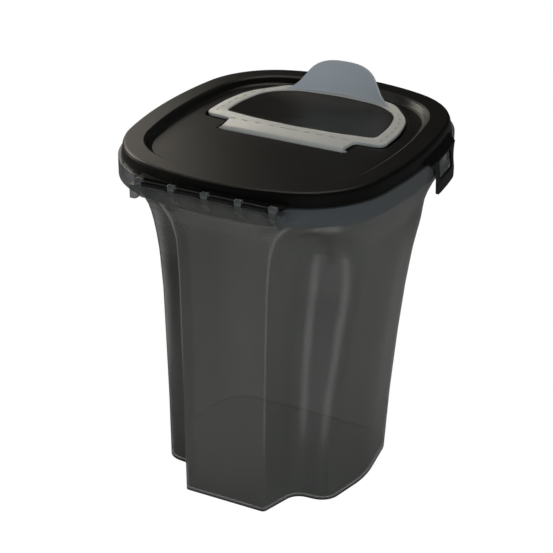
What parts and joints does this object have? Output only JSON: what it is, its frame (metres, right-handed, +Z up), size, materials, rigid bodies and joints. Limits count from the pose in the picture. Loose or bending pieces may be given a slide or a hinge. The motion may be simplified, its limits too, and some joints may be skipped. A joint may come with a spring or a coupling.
{
  "type": "pet food storage container",
  "caption": "Tall see-through keeper for dry pet food: fluted body, lid that hinges at the front and latches at both sides, and a flip-up pour door with a thumb tab.",
  "frame": {"origin": "on the resting plane, under the middle of the bounding box", "axes": "+X along both hinges, +Y from the lid hinge towards the thumb tab of the pour door, +Z up"},
  "size_m": [0.2708, 0.2966, 0.3405],
  "materials": {
    "smoke_plastic": "satin smoke-tinted translucent polypropylene",
    "black_plastic": "fine matt moulded polypropylene",
    "seal_rubber": "soft moulded elastomer",
    "grey_plastic": "satin moulded polypropylene",
    "dark_panel": "fine matt moulded polypropylene"
  },
  "bodies": {
    "container": {"container_body": "smoke_plastic"},
    "lid": {"lid": "black_plastic", "lid_seal": "seal_rubber"},
    "pour_door": {"pour_door": "grey_plastic", "pour_door_panel": "dark_panel", "pour_door_seal": "seal_rubber"}
  },
  "joints": [
    {"name": "lid_hinge", "type": "hinge", "parent": "container", "child": "lid", "pos_m": [0, -0.14455, 0.305], "axis": [1, 0, 0], "range_deg": [0, 110]},
    {"name": "pour_door_hinge", "type": "hinge", "parent": "lid", "child": "pour_door", "pos_m": [0, -0.01005, 0.3056], "axis": [1, 0, 0], "range_deg": [0, 110]}
  ]
}
